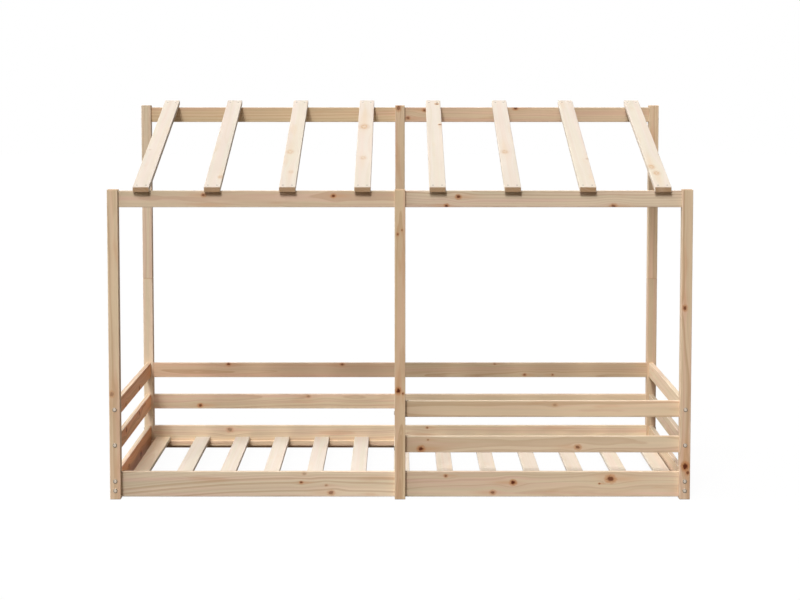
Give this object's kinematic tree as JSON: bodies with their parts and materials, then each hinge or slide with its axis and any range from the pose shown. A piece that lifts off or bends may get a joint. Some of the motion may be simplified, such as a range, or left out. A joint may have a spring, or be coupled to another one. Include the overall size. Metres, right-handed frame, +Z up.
{
  "type": "kids bed",
  "caption": "House-frame bed for a child in planed pine, with a lean-to slatted roof on tall posts, guard rails, an open entrance side and a slatted mattress base.",
  "frame": {"origin": "on the floor, in the middle of the bed's length and width", "axes": "+X along the bed towards the half with the front guard rails, +Y from the open entrance side towards the tall back, +Z up"},
  "size_m": [2.0604, 0.984, 1.4004],
  "materials": {
    "pine_posts": "planed, unfinished",
    "pine_boards": "planed, unfinished",
    "pine_ledgers": "planed, unfinished",
    "pine_roof_slats": "planed, unfinished",
    "pine_base_slats": "planed, unfinished",
    "beech": "turned, unfinished",
    "zinc_steel": "bright zinc plate"
  },
  "bodies": {
    "root": {"front_left_post": "pine_posts", "front_centre_post": "pine_posts", "front_right_post": "pine_posts", "back_left_post_lower": "pine_posts", "back_left_post_upper": "pine_posts", "back_centre_post_lower": "pine_posts", "back_centre_post_upper": "pine_posts", "back_right_post_lower": "pine_posts", "back_right_post_upper": "pine_posts", "front_left_base_board": "pine_boards", "front_right_base_board": "pine_boards", "back_left_base_board": "pine_boards", "back_right_base_board": "pine_boards", "front_lower_guard_rail": "pine_boards", "front_upper_guard_rail": "pine_boards", "back_left_lower_guard_rail": "pine_boards", "back_right_lower_guard_rail": "pine_boards", "back_left_upper_guard_rail": "pine_boards", "back_right_upper_guard_rail": "pine_boards", "front_left_top_rail": "pine_boards", "front_right_top_rail": "pine_boards", "back_left_top_rail": "pine_boards", "back_right_top_rail": "pine_boards", "left_end_base_board": "pine_boards", "left_end_lower_rail": "pine_boards", "left_end_upper_rail": "pine_boards", "right_end_base_board": "pine_boards", "right_end_lower_rail": "pine_boards", "right_end_upper_rail": "pine_boards", "front_left_ledger": "pine_ledgers", "front_right_ledger": "pine_ledgers", "back_left_ledger": "pine_ledgers", "back_right_ledger": "pine_ledgers", "roof_slat_1": "pine_roof_slats", "roof_slat_2": "pine_roof_slats", "roof_slat_3": "pine_roof_slats", "roof_slat_4": "pine_roof_slats", "roof_slat_5": "pine_roof_slats", "roof_slat_6": "pine_roof_slats", "roof_slat_7": "pine_roof_slats", "roof_slat_8": "pine_roof_slats", "base_slat_1": "pine_base_slats", "base_slat_2": "pine_base_slats", "base_slat_3": "pine_base_slats", "base_slat_4": "pine_base_slats", "base_slat_5": "pine_base_slats", "base_slat_6": "pine_base_slats", "base_slat_7": "pine_base_slats", "base_slat_8": "pine_base_slats", "base_slat_9": "pine_base_slats", "base_slat_10": "pine_base_slats", "base_slat_11": "pine_base_slats", "base_slat_12": "pine_base_slats", "base_slat_13": "pine_base_slats", "frame_bolts": "zinc_steel", "barrel_nuts": "zinc_steel", "tie_rods": "zinc_steel", "wood_screws": "zinc_steel", "wooden_dowels": "beech"}
  },
  "joints": []
}
